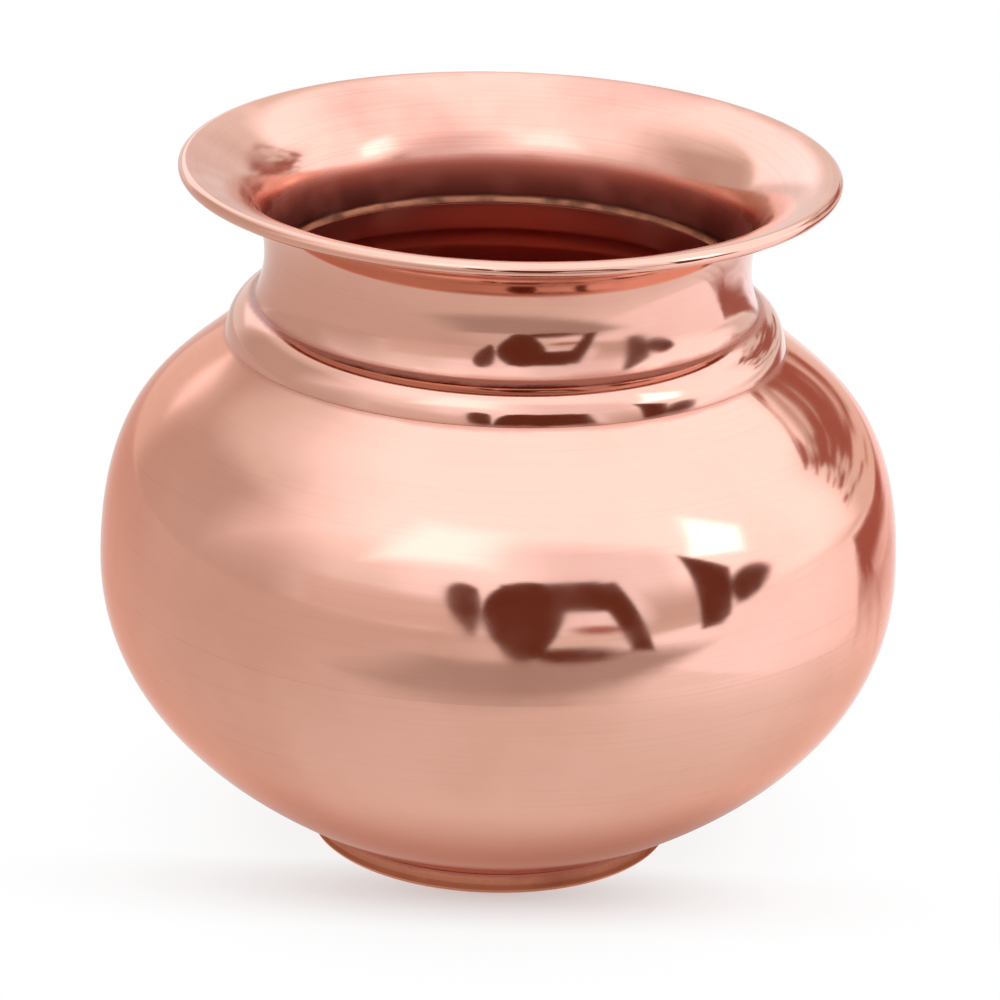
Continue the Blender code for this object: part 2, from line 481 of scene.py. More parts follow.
@dataclass(frozen=True)
class CopperFinish:
    """Turned and polished metal, with its lathe rings, smudges and tarnish, and with painted shade: matte
    brown rings in its crevices, and inside, full tarnish in the depth.
    """

    name: str
    clean: Colour
    tarnish: Colour
    tarnish_share: float
    roughness: float
    smudge: float
    ring_depth: float
    wave_depth: float
    ring_pitch: float = 0.0004
    arc_length: float = 0.030
    cloud_size: float = 0.028
    wave_size: float = 0.030
    # Colour of the painted shade in crevices, a matte brown.
    crevice_shade: Colour = (0.44, 0.13, 0.083)
    edge: Colour = (1.0, 0.72, 0.64)

    RING_DETAIL = 2.0
    CLOUD_DETAIL = 4.0
    SMEAR_DETAIL = 3.0
    WAVE_DETAIL = 1.0
    SMEARS_PER_CLOUD = 3
    CLOUD_RANGE = (0.40, 0.75)
    STREAK_RANGE = (0.45, 0.80)
    STREAK_SHARE = 1 / 3
    HAZE_RANGE = (0.45, 0.75)
    HAZE_SHARE = 0.5
    RAGGED_RANGE = (0.3, 0.7)
    RAGGED_STRETCH = (1.3, 0.75)

    def material(
        self,
        shade_rings: tuple[RingMark, ...] = (),
        rubbed: tuple[RingMark, ...] = (),
        painted_shade_below: tuple[float, float] | None = None,
    ) -> bpy.types.Material:
        """Builds the finish.

        Args:
            shade_rings: Rings of painted shade in crevices, in a matte brown.
            rubbed: Rings that use has kept bright.
            painted_shade_below: Heights below which painted shade, drawn as full tarnish, covers the inside
                and above which it ends, if there is such shade in the depth.

        Returns:
            A new material.
        """
        made = bpy.data.materials.new(self.name)
        made.use_nodes = True
        graph = Graph(made.node_tree)
        spot = self.spot(graph)
        tarnish = self.tarnished(graph, spot, rubbed, painted_shade_below)
        # Masks of the painted shade in the crevices.
        crevice_shades = [self.at_mark(graph, spot, mark) for mark in shade_rings]
        sockets = made.node_tree.nodes["Principled BSDF"].inputs
        sockets["Specular Tint"].default_value = (*self.edge, 1.0)
        graph.feed(sockets["Base Color"], self.colour(graph, spot, tarnish, crevice_shades))
        graph.feed(sockets["Metallic"], self.bareness(graph, crevice_shades))
        graph.feed(sockets["Roughness"], self.dullness(graph, spot, tarnish, crevice_shades))
        graph.feed(sockets["Normal"], self.relief(graph, spot))
        return made

    def spot(self, graph: Graph) -> Spot:
        """Reads a point of the piece.

        Args:
            graph: The material's nodes.

        Returns:
            The point's place on the turned piece, and the patterns there.
        """
        place = graph.node("TexCoord").outputs["Object"]
        x, y, height = graph.node("SeparateXYZ", {0: place}).outputs
        across = graph.node("CombineXYZ", {0: x, 1: y}).outputs[0]
        radius = graph.node("VectorMath", {0: across}, operation="LENGTH").outputs["Value"]
        smears = self.noise(graph, place, self.cloud_size / self.SMEARS_PER_CLOUD, self.SMEAR_DETAIL)
        return Spot(place, radius, height, self.rings(graph, (x, y), radius, height), smears)

    def noise(self, graph: Graph, place: Socket, size: float, detail: float) -> Socket:
        """Soft uneven patches of about this size, from 0 to 1."""
        inputs = {"Vector": place, "Scale": 1 / size, "Detail": detail}
        return graph.node("TexNoise", inputs).outputs[0]

    def rings(self, graph: Graph, across: tuple[Socket, Socket], radius: Socket, height: Socket) -> Socket:
        """Fine lathe rings that fade in and out along their length.

        Args:
            graph: The material's nodes.
            across: The point's x and y.
            radius: Its distance from the axis.
            height: Its height.

        Returns:
            The pattern, from 0 to 1.
        """
        coarse = [graph.math("MULTIPLY", side, 1 / self.arc_length) for side in across]
        fine = [graph.math("MULTIPLY", side, 1 / self.ring_pitch) for side in (radius, height)]
        place = graph.node("CombineXYZ", {0: coarse[0], 1: coarse[1], 2: fine[0]}).outputs[0]
        inputs = {"Vector": place, "W": fine[1], "Scale": 1.0, "Detail": self.RING_DETAIL}
        return graph.node("TexNoise", inputs, noise_dimensions="4D").outputs[0]

    def at_mark(self, graph: Graph, spot: Spot, mark: RingMark) -> Socket:
        """How strongly a ring mark shows at a point.

        Args:
            graph: The material's nodes.
            spot: The point.
            mark: The ring mark.

        Returns:
            The mark's strength on the ring, and 0 about a width away from it.
        """
        out = graph.math("SUBTRACT", spot.radius, mark.radius)
        up = graph.math("SUBTRACT", spot.height, mark.height)
        place = graph.node("CombineXYZ", {0: out, 1: up}).outputs[0]
        distance = graph.node("VectorMath", {0: place}, operation="LENGTH").outputs["Value"]
        stretch = graph.spread(spot.smears, *self.RAGGED_RANGE, *self.RAGGED_STRETCH)
        ragged = graph.math("MULTIPLY", distance, stretch)
        return graph.spread(ragged, 0.0, mark.width, mark.strength, 0.0)

    def tarnished(
        self,
        graph: Graph,
        spot: Spot,
        rubbed: tuple[RingMark, ...],
        painted_shade_below: tuple[float, float] | None,
    ) -> Socket:
        """How far the metal has tarnished at a point, with the painted shade in the depth drawn as full
        tarnish.

        Args:
            graph: The material's nodes.
            spot: The point.
            rubbed: Rings that use has kept bright.
            painted_shade_below: Heights between which the painted shade in the depth ends, if there is one.

        Returns:
            The tarnish with the painted shade, from 0 to 1.
        """
        clouds = self.noise(graph, spot.place, self.cloud_size, self.CLOUD_DETAIL)
        tarnish = graph.spread(clouds, *self.CLOUD_RANGE, 0.0, self.tarnish_share)
        # Painted shade in the depth: full tarnish below the first height, fading out by the second.
        if painted_shade_below:
            tarnish = graph.math("MAXIMUM", tarnish, graph.spread(spot.height, *painted_shade_below, 1.0, 0.0))
        for mark in rubbed:
            left = graph.math("SUBTRACT", 1.0, self.at_mark(graph, spot, mark))
            tarnish = graph.math("MULTIPLY", tarnish, left)
        return tarnish

    def colour(self, graph: Graph, spot: Spot, tarnish: Socket, crevice_shades: list[Socket]) -> Socket:
        """Colour of the metal, with tarnish in clouds and along its rings, under the painted shade of the
        crevices.

        Args:
            graph: The material's nodes.
            spot: The point.
            tarnish: How far it has tarnished, with the painted shade in the depth.
            crevice_shades: How strongly each ring of painted shade covers it.

        Returns:
            The colour.
        """
        streaks = graph.spread(spot.rings, *self.STREAK_RANGE, 0.0, self.tarnish_share * self.STREAK_SHARE)
        colour = graph.mix(graph.math("ADD", tarnish, streaks), self.clean, self.tarnish)
        for crevice_shade in crevice_shades:
            colour = graph.mix(crevice_shade, colour, self.crevice_shade)
        return colour

    def bareness(self, graph: Graph, crevice_shades: list[Socket]) -> Socket | float:
        """How bare the metal is, because the painted shade in crevices is matte and has no metal's shine.

        Args:
            graph: The material's nodes.
            crevice_shades: How strongly each ring of painted shade covers the point.

        Returns:
            1 where no painted shade lies, and less under it.
        """
        bare = 1.0
        for crevice_shade in crevice_shades:
            bare = graph.math("MINIMUM", bare, graph.math("SUBTRACT", 1.0, crevice_shade))
        return bare

    def dullness(self, graph: Graph, spot: Spot, tarnish: Socket, crevice_shades: list[Socket]) -> Socket:
        """Roughness, which smears, tarnish and the painted shade raise.

        Args:
            graph: The material's nodes.
            spot: The point.
            tarnish: How far it has tarnished, with the painted shade in the depth.
            crevice_shades: How strongly each ring of painted shade covers it.

        Returns:
            The roughness.
        """
        tarnish_and_shade = tarnish
        for crevice_shade in crevice_shades:
            tarnish_and_shade = graph.math("ADD", tarnish_and_shade, crevice_shade)
        hazed = self.roughness + self.smudge * self.HAZE_SHARE
        haze = graph.spread(spot.smears, *self.HAZE_RANGE, self.roughness, hazed)
        return graph.math("ADD", haze, graph.math("MULTIPLY", tarnish_and_shade, self.smudge))

    def relief(self, graph: Graph, spot: Spot) -> Socket:
        """Long waves of the sheet under fine lathe rings.

        Args:
            graph: The material's nodes.
            spot: The point.

        Returns:
            The normal that they give.
        """
        waves = self.noise(graph, spot.place, self.wave_size, self.WAVE_DETAIL)
        swell = graph.node("Bump", {"Height": waves, "Strength": 1.0, "Distance": self.wave_depth}).outputs[0]
        inputs = {"Height": spot.rings, "Strength": 1.0, "Distance": self.ring_depth, "Normal": swell}
        return graph.node("Bump", inputs).outputs[0]


POLISHED_COPPER = CopperFinish(
    name="polished_copper",
    clean=(0.76, 0.43, 0.33),
    tarnish=(0.55, 0.25, 0.17),
    tarnish_share=0.30,
    roughness=0.07,
    smudge=0.12,
    ring_depth=0.0000012,
    wave_depth=0.00012,
)
# The neck's copper, painted a little darker than the belly's as painted shade from the lip and shoulder round
# it.
SHADED_NECK_METAL = replace(
    POLISHED_COPPER,
    name="neck_copper",
    clean=(0.715, 0.404, 0.31),
    edge=(1.0, 0.95, 0.93),
)
# Inside the pot; its tarnish colour also paints the shade in the depth.
INSIDE_COPPER = CopperFinish(
    name="inside_copper",
    clean=(0.76, 0.43, 0.33),
    tarnish=(0.56, 0.17, 0.115),
    tarnish_share=0.40,
    roughness=0.10,
    smudge=0.30,
    ring_depth=0.000002,
    wave_depth=0.00012,
)
# Inside the neck; its darker tarnish colour paints the shade deep in the mouth.
MOUTH_COPPER = replace(
    INSIDE_COPPER,
    name="mouth_copper",
    tarnish=(0.40, 0.12, 0.082),
    edge=SHADED_NECK_METAL.edge,
)
# The foot's copper: tarnished, and also painted darker as painted shade, for the shadowed floor that it
# faces.
FOOT_TARNISH_AND_SHADE = CopperFinish(
    name="tarnished_copper",
    clean=(0.66, 0.29, 0.185),
    tarnish=(0.36, 0.12, 0.062),
    tarnish_share=0.75,
    roughness=0.22,
    smudge=0.25,
    ring_depth=0.000004,
    wave_depth=0.00006,
    cloud_size=0.010,
)
COPPER_WIRE = CopperFinish(
    name="copper_wire",
    clean=(0.80, 0.42, 0.32),
    tarnish=(0.42, 0.17, 0.10),
    tarnish_share=0.5,
    roughness=0.20,
    smudge=0.2,
    ring_depth=0.000003,
    wave_depth=0.00002,
    ring_pitch=0.00015,
    cloud_size=0.006,
)
BRASS_FILLER = CopperFinish(
    name="brass_filler",
    clean=(0.26, 0.105, 0.058),
    tarnish=(0.12, 0.045, 0.025),
    tarnish_share=0.9,
    roughness=0.32,
    smudge=0.25,
    ring_depth=0.000004,
    wave_depth=0.00025,
    cloud_size=0.004,
    wave_size=0.004,
)


def place_piece(piece: bpy.types.Object, node: str, finish: bpy.types.Material) -> None:
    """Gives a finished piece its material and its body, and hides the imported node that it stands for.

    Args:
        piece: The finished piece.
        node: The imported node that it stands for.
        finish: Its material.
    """
    piece.data.materials.clear()
    piece.data.materials.append(finish)
    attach(piece, BODY)
    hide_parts(node)
    log.info("%s: %d faces", piece.name, len(piece.data.polygons))


@dataclass
class Foot:
    """The low ring that the pot stands on, and the filler that holds it."""

    gauge: Gauge
    lathe: Lathe
    width: float = 0.0018
    chamfer: float = 0.0004
    base_bend_radius: float = 0.0100
    base_bend_angle: float = math.radians(27)
    top_steps: int = 12
    # Painted shade in the crevice where the ring's top meets the bowl.
    top_crevice_shade: RingStrength = RingStrength(0.0012, 0.95)
    edge_rub: RingStrength = RingStrength(0.0009, 0.8)
    radius: float = field(init=False)
    height: float = field(init=False)

    def __post_init__(self) -> None:
        """Takes the ring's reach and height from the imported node."""
        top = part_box("foot_ring")[1]
        self.radius = top.x
        self.height = top.z

    @property
    def base_centre(self) -> Vector:
        """Centre of the bowl's base bend.

        Returns:
            The place from which the bend meets the ring's top edge.
        """
        reach = self.base_bend_radius * math.sin(self.base_bend_angle)
        drop = math.sqrt((self.base_bend_radius + self.gauge.clearance) ** 2 - reach**2)
        return Vector((self.radius - reach, self.height + drop))

    def under_base(self, radius: float, gap: float) -> Vector:
        """Point below the base bend.

        Args:
            radius: The point's distance from the axis.
            gap: Its distance from the bowl.

        Returns:
            The point.
        """
        centre = self.base_centre
        drop = math.sqrt((self.base_bend_radius + gap) ** 2 - (radius - centre.x) ** 2)
        return Vector((radius, centre.y - drop))

    def build(self) -> None:
        """Turns the ring and its filler, and dresses them."""
        gap = self.gauge.hairline
        inner = self.radius - self.width
        step = self.width / self.top_steps
        top = [self.under_base(self.radius - step * i, gap) for i in range(self.top_steps + 1)]
        corners = [
            Vector((inner, self.chamfer)),
            Vector((inner + self.chamfer, 0.0)),
            Vector((self.radius - self.chamfer, 0.0)),
            Vector((self.radius, self.chamfer)),
        ]
        ring = self.lathe.turn("foot_ring_turned", top + corners)
        self.lathe.round_off(ring, corners + [top[0]], self.gauge.edge_radius)
        self.lathe.smooth(ring)
        shade_rings = (self.top_crevice_shade.at(top[0]),)
        rubbed = (self.edge_rub.at(corners[-1]),)
        place_piece(ring, "foot_ring", FOOT_TARNISH_AND_SHADE.material(shade_rings, rubbed))
        corner = self.under_base(inner - self.gauge.clearance, self.gauge.clearance)
        outline = self.gauge.braze(corner, Vector((-1.0, 0.0)), Vector((0.0, -1.0)))
        filler = self.lathe.turn("foot_filler", outline)
        self.lathe.smooth(filler)
        place_piece(filler, "foot_braze", BRASS_FILLER.material())


@dataclass
class Neck:
    """Collar, waist, lip and rolled edge of one sheet, with its wire and the filler inside."""

    gauge: Gauge
    lathe: Lathe
    sweep_radius: float = 0.0152
    sweep_angle: float = math.radians(24)
    crease_radius: float = 0.0006
    collar_top_slope: float = math.radians(20)
    collar_radius: float = 0.0058
    collar_edge_slope: float = math.radians(75)
    collar_edge_height: float = 0.0001
    shoulder_slope: float = math.radians(50)
    spigot_drop: float = 0.0025
    lip_reach: float = 0.01175
    lip_rise: float = 0.0141
    lip_waist_pull: float = 0.0070
    lip_edge_pull: float = 0.0085
    lip_edge_slope: float = math.radians(10)
    curl_angle: float = math.radians(270)
    wire_radius: float = 0.00025
    wire_sides: int = 32
    # Where, above the waist, the painted shade in the mouth ends, and how far it fades out.
    mouth_rise: float = 0.0030
    mouth_fade: float = 0.0035
    # Rings of painted shade: in the crease, under the collar's edge and under the rolled edge.
    crease_crevice_shade: RingStrength = RingStrength(0.0012, 0.9)
    collar_crevice_shade: RingStrength = RingStrength(0.0006, 0.45)
    curl_crevice_shade: RingStrength = RingStrength(0.0016, 0.8)
    bead_rub: RingStrength = RingStrength(0.0022, 0.9)
    waist: Vector = field(init=False)

    def __post_init__(self) -> None:
        """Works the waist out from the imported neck's reach and height."""
        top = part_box("neck")[1]
        bead = self.curl_radius + self.gauge.sheet
        centre = Vector((top.x - bead, top.z - bead))
        edge = centre + left_of(direction(self.lip_edge_slope)) * self.curl_radius
        self.waist = edge - Vector((self.lip_reach, self.lip_rise))

    @property
    def curl_radius(self) -> float:
        """Inside radius of the rolled edge."""
        return self.wire_radius + self.gauge.clearance

    @property
    def lip_edge(self) -> Vector:
        """Point on the lip's underside where its rolled edge starts."""
        return self.waist + Vector((self.lip_reach, self.lip_rise))

    @property
    def curl_centre(self) -> Vector:
        """Middle of the rolled edge, where the wire lies."""
        return self.lip_edge - left_of(direction(self.lip_edge_slope)) * self.curl_radius

    @property
    def crease(self) -> Vector:
        """Bottom of the crease, where the collar starts."""
        path = Path(self.waist, -math.pi / 2).bend(self.sweep_radius, self.sweep_angle)
        return path.bend(self.crease_radius, -self.collar_top_slope - path.heading).end

    @property
    def collar_skew(self) -> float:
        """How much further down the collar's outer face reaches, so that its edge lies along the shoulder."""
        return self.gauge.sheet * math.tan(math.pi / 2 - self.collar_edge_slope + self.shoulder_slope)

    def root_path(self, gap: float) -> list[Vector]:
        """The outer face from the collar's edge up to the waist.

        Args:
            gap: How far the collar's edge stays above the shoulder.

        Returns:
            The points of the face.
        """
        path = Path(self.waist, -math.pi / 2).bend(self.sweep_radius, self.sweep_angle)
        path.bend(self.crease_radius, -self.collar_top_slope - path.heading)
        path.bend(self.collar_radius, self.collar_top_slope - self.collar_edge_slope)
        closer = (self.gauge.clearance - gap) / math.sin(self.collar_edge_slope - self.shoulder_slope)
        path.line(self.collar_edge_height + self.collar_skew + closer)
        return path.points[::-1]

    def seat_path(self) -> list[Vector]:
        """Where the shoulder's outer face runs under the collar and up inside the neck."""
        path = self.root_path(self.gauge.clearance)
        return moved_left(path, self.gauge.sheet + self.gauge.clearance)

    def spigot_reach(self) -> float:
        """Length along the seat at which the shoulder ends inside the neck."""
        return length_of(self.seat_path()) - self.spigot_drop

    def build(self) -> None:
        """Turns the sheet, its wire and its filler, and dresses them."""
        root = self.root_path(self.gauge.seat_gap)
        lip = Path(self.waist, math.pi / 2)
        lip.curve(self.lip_waist_pull, self.lip_edge, self.lip_edge_slope, self.lip_edge_pull)
        lip.bend(self.curl_radius, -self.curl_angle)
        outline = self.gauge.outline(root + lip.points[1:], self.collar_skew)
        sheet = self.lathe.turn("neck_spun", outline)
        half = len(outline) // 2
        ends = [outline[0], outline[-1], outline[half - 1], outline[half]]
        self.lathe.round_off(sheet, ends, self.gauge.edge_radius)
        self.lathe.smooth(sheet)
        bead = self.curl_centre + Vector((self.curl_radius + self.gauge.sheet, 0.0))
        under_curl = self.curl_centre - Vector((self.curl_radius, self.curl_radius))
        shade_rings = (
            self.crease_crevice_shade.at(self.crease),
            self.collar_crevice_shade.at(root[0]),
            self.curl_crevice_shade.at(under_curl),
        )
        rubbed = (self.bead_rub.at(bead),)
        place_piece(sheet, "neck", SHADED_NECK_METAL.material(shade_rings, rubbed))
        # Painted shade: the neck's inside darkens below this depth, as the mouth's depth in shadow.
        depth = self.waist.y + self.mouth_rise
        inside = MOUTH_COPPER.material(painted_shade_below=(depth, depth + self.mouth_fade))
        self.lathe.finish_inside(sheet, inside)
        self.build_wire()
        filler = self.lathe.turn("neck_filler", self.gauge.lap_braze(self.seat_path(), self.spigot_reach()))
        self.lathe.smooth(filler)
        place_piece(filler, "neck_braze", BRASS_FILLER.material())

    def build_wire(self) -> None:
        """Turns the wire that fills the rolled edge, and dresses it."""
        radius = self.curl_radius - self.gauge.hairline
        turns = [math.tau * i / self.wire_sides for i in range(self.wire_sides)]
        wire = self.lathe.turn("rim_wire_drawn", [self.curl_centre + direction(t) * radius for t in turns])
        self.lathe.smooth(wire)
        place_piece(wire, "rim_wire", COPPER_WIRE.material())


@dataclass
class Body:
    """Lower bowl and shoulder, whose seam at the belly is buffed flush, with the filler inside it."""

    gauge: Gauge
    lathe: Lathe
    foot: Foot
    neck: Neck
    base_pull: float = 0.0260
    bowl_side_pull: float = 0.0153
    shoulder_side_pull: float = 0.0260
    shoulder_top_pull: float = 0.0120
    seam_lap: float = 0.0050
    # Rings of painted shade: on the bowl just above the foot, and on the shoulder under the collar's edge.
    foot_crevice_shade: RingStrength = RingStrength(0.0016, 0.7)
    collar_crevice_shade: RingStrength = RingStrength(0.0009, 0.45)
    seam: Vector = field(init=False)

    def __post_init__(self) -> None:
        """Takes the seam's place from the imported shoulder."""
        low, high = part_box("shoulder_shell")
        self.seam = Vector((high.x, low.z - self.gauge.clearance))

    def shoulder_path(self, gap: float) -> list[Vector]:
        """The shoulder's outer face from the seam, under the collar and up inside the neck.

        Args:
            gap: How far above the seam it starts.

        Returns:
            The points of the face.
        """
        neck, gauge = self.neck, self.gauge
        inward = direction(math.pi - neck.shoulder_slope)
        below = left_of(inward)
        across = left_of(direction(math.pi - neck.collar_edge_slope))
        drop = gauge.sheet + gauge.clearance - gauge.clearance * below.dot(across)
        under_edge = drop / inward.dot(across)
        top = neck.root_path(gauge.clearance)[0] + below * gauge.clearance + inward * under_edge
        start = self.seam + Vector((0.0, gap))
        dome = Path(start, math.pi / 2)
        dome.curve(self.shoulder_side_pull, top, math.pi - neck.shoulder_slope, self.shoulder_top_pull)
        return dome.points + first_part(neck.seat_path(), neck.spigot_reach())[1:]

    def tongue_wall(self) -> list[Vector]:
        """Where the bowl's tongue runs inside the shoulder."""
        return moved_left(self.shoulder_path(self.gauge.clearance), self.gauge.sheet + self.gauge.clearance)

    def bowl_path(self) -> list[Vector]:
        """The bowl's outer face from the axis to the seam, then on inside the shoulder.

        Returns:
            The points of the face.
        """
        foot, gauge = self.foot, self.gauge
        centre = foot.base_centre
        flat_end = Vector((centre.x, centre.y - foot.base_bend_radius))
        path = Path(Vector((0.0, flat_end.y)))
        path.line(flat_end.x)
        path.bend(foot.base_bend_radius, foot.base_bend_angle)
        path.curve(self.base_pull, self.seam, math.pi / 2, self.bowl_side_pull)
        step = self.seam - Vector((gauge.sheet + gauge.clearance, 0.0))
        tongue = first_part(self.tongue_wall(), self.seam_lap)
        return path.points + [step] + tongue[1:]

    def build(self) -> None:
        """Turns the bowl, the shoulder and their filler, and dresses them."""
        gauge, lathe, foot, neck = self.gauge, self.lathe, self.foot, self.neck
        bowl = lathe.turn("lower_bowl_spun", gauge.outline(self.bowl_path()), closed=False)
        lathe.smooth(bowl)
        shade_rings = (self.foot_crevice_shade.at(Vector((foot.radius, foot.height))),)
        place_piece(bowl, "lower_bowl", POLISHED_COPPER.material(shade_rings))
        # Painted shade: the inside of the pot darkens below the neck's waist.
        inside = INSIDE_COPPER.material(painted_shade_below=(neck.waist.y, neck.lip_edge.y))
        lathe.finish_inside(bowl, inside)
        outline = gauge.outline(self.shoulder_path(gauge.hairline))
        shoulder = lathe.turn("shoulder_spun", outline)
        half = len(outline) // 2
        lathe.round_off(shoulder, [outline[half - 1], outline[half]], gauge.edge_radius)
        lathe.smooth(shoulder)
        shade_rings = (self.collar_crevice_shade.at(neck.root_path(gauge.seat_gap)[0]),)
        place_piece(shoulder, "shoulder_shell", POLISHED_COPPER.material(shade_rings))
        lathe.finish_inside(shoulder, inside, neck.crease.y)
        filler = lathe.turn("belly_filler", gauge.lap_braze(self.tongue_wall(), self.seam_lap))
        lathe.smooth(filler)
        place_piece(filler, "belly_braze", BRASS_FILLER.material())


def towards(azimuth: float, elevation: float) -> Vector:
    """Unit vector from the pot: azimuth 0 is the camera's side, 90 its right, in degrees."""
    a, e = math.radians(azimuth), math.radians(elevation)
    return Vector((math.sin(a) * math.cos(e), -math.cos(a) * math.cos(e), math.sin(e)))


POT_FRONT = Vector((0.0, -0.045, 0.058))


def hung(distance: float, *directions: tuple[float, float]) -> tuple[Vector, ...]:
    """Corners this far from the pot's front, in these directions (azimuth, elevation)."""
    return tuple(POT_FRONT + towards(*corner) * distance for corner in directions)


def laid(height: float, *places: tuple[float, float]) -> tuple[Vector, ...]:
    """Corners of a level sheet at this height, over these places."""
    return tuple(Vector((*place, height)) for place in places)


def stood(
    start: tuple[float, float], end: tuple[float, float], low: float, high: float
) -> tuple[Vector, ...]:
    """Corners of an upright sheet between two places on the floor, from one height to another."""
    rungs = ((start, low), (end, low), (end, high), (start, high))
    return tuple(Vector((*place, height)) for place, height in rungs)


@dataclass(frozen=True)
class Card:
    """A plain studio card that only shows in reflections.

    Its softness is the share of its width and of its length over which it fades out. Ragged is how much
    that edge is torn, by a grain of so many patches across and along the card.
    """

    name: str
    corners: tuple[Vector, ...]
    colour: Colour
    softness: tuple[float, float]
    ragged: float = 0.0
    cut: Outline = Outline.SQUARE
    grain: tuple[float, float] = (25.0, 80.0)

    HIDDEN_FROM = ("camera", "diffuse", "shadow", "transmission", "volume_scatter")
    # A new plane numbers its corners in two rows.
    ROUND_THE_PLANE = (0, 1, 3, 2)

    def build(self) -> None:
        """Makes the card's mesh and its finish."""
        bpy.ops.object.select_all(action="DESELECT")
        bpy.ops.mesh.primitive_plane_add(size=1.0, location=(0.0, 0.0, 0.0))
        card = bpy.context.object
        card.name = self.name
        for index, corner in zip(self.ROUND_THE_PLANE, self.corners):
            card.data.vertices[index].co = corner
        card.data.materials.append(self.material())
        for kind in self.HIDDEN_FROM:
            setattr(card, "visible_" + kind, False)

    def material(self) -> bpy.types.Material:
        """The card's colour, fading out at its edges.

        Returns:
            A new material.
        """
        made = bpy.data.materials.new(self.name)
        made.use_nodes = True
        graph = Graph(made.node_tree)
        made.node_tree.nodes.remove(made.node_tree.nodes["Principled BSDF"])
        place = graph.node("TexCoord").outputs["UV"]
        axes = graph.node("SeparateXYZ", {0: place}).outputs
        depths = [graph.math("PINGPONG", axes[i], 0.5) for i in range(2)]
        if self.cut is Outline.ROUND:
            out = [graph.math("SUBTRACT", 0.5, depth) for depth in depths]
            spoke = graph.node("CombineXYZ", {0: out[0], 1: out[1]}).outputs[0]
            reach = graph.node("VectorMath", {0: spoke}, operation="LENGTH").outputs["Value"]
            depths = [graph.math("SUBTRACT", 0.5, reach)] * 2
        fades = [graph.math("DIVIDE", depth, soft / 2) for depth, soft in zip(depths, self.softness)]
        nearest = graph.math("MINIMUM", *fades)
        if self.ragged:
            grain = graph.node("Mapping", {0: place, "Scale": (*self.grain, 1.0)}).outputs[0]
            noise = graph.node("TexNoise", {"Vector": grain, "Scale": 1.0}).outputs[0]
            torn = graph.math("SUBTRACT", noise, 0.5)
            nearest = graph.math("ADD", nearest, graph.math("MULTIPLY", torn, self.ragged))
        share = graph.spread(nearest, 0.0, 1.0, 0.0, 1.0)
        paint = graph.node("Emission", {"Color": (*self.colour, 1.0), "Strength": 1.0}).outputs[0]
        clear = graph.node("BsdfTransparent").outputs[0]
        mixed = graph.node("MixShader", {0: share, 1: clear, 2: paint}).outputs[0]
        graph.feed(made.node_tree.nodes["Material Output"].inputs["Surface"], mixed)
        return made


DAYLIGHT: Colour = (0.98, 1.0, 1.10)
ROOM_LIGHT: Colour = (1.12, 1.0, 0.97)
# Colour of the painted shadow card round the foot.
SHADY: Colour = (0.42, 0.27, 0.22)
BROWN: Colour = (0.46, 0.19, 0.16)
DARK: Colour = (0.16, 0.045, 0.022)


def cool(level: float) -> Colour:
    """Daylight of this level, where 1 is white."""
    return tuple(level * part for part in DAYLIGHT)


def warm(level: float) -> Colour:
    """Room light of this level, where 1 is white."""
    return tuple(level * part for part in ROOM_LIGHT)


ROOM_CARDS = (
    Card(
        "ceiling", laid(1.25, (-1.3, -1.45), (2.4, -1.45), (2.4, 1.9), (-1.3, 1.9)), cool(1.70),
        softness=(0.5, 0.30),
    ),
    Card("left_wall", stood((-1.2, -1.1), (-1.2, 1.6), -0.4, 1.2), warm(0.66), softness=(0.5, 0.5)),
    Card("front_wall", stood((-1.1, -1.5), (2.6, -1.5), -0.2, 1.75), cool(1.27), softness=(0.3, 0.2)),
    Card("left_glow", stood((-1.1, 0.1), (0.45, -1.3), 0.0, 1.6), cool(1.72), softness=(1.0, 1.0)),
    Card(
        "right_wall", hung(1.40, (50, -4), (132, -4), (132, 60), (50, 60)), cool(1.72),
        softness=(0.5, 0.2),
    ),
    Card(
        "back_left", hung(1.40, (-178, 10), (-138, 10), (-138, 48), (-178, 48)), cool(1.60),
        softness=(0.4, 0.3),
    ),
    Card(
        "front_patch", hung(0.60, (-46, 21), (4, 27), (16, 54), (-40, 60)), cool(2.15),
        softness=(0.8, 0.7),
    ),
    Card("bright_pane", hung(0.80, (58, 23), (80, 15), (86, 29), (71, 49)), cool(3.2), softness=(0.55, 0.5)),
    Card("front_low", hung(0.90, (-60, -4), (-4, -4), (-8, 13), (-60, 13)), warm(0.78), softness=(0.3, 0.5)),
    Card("front_gap", hung(0.62, (40, -15), (66, -15), (66, 17), (40, 17)), warm(0.70), softness=(0.7, 1.0)),
)
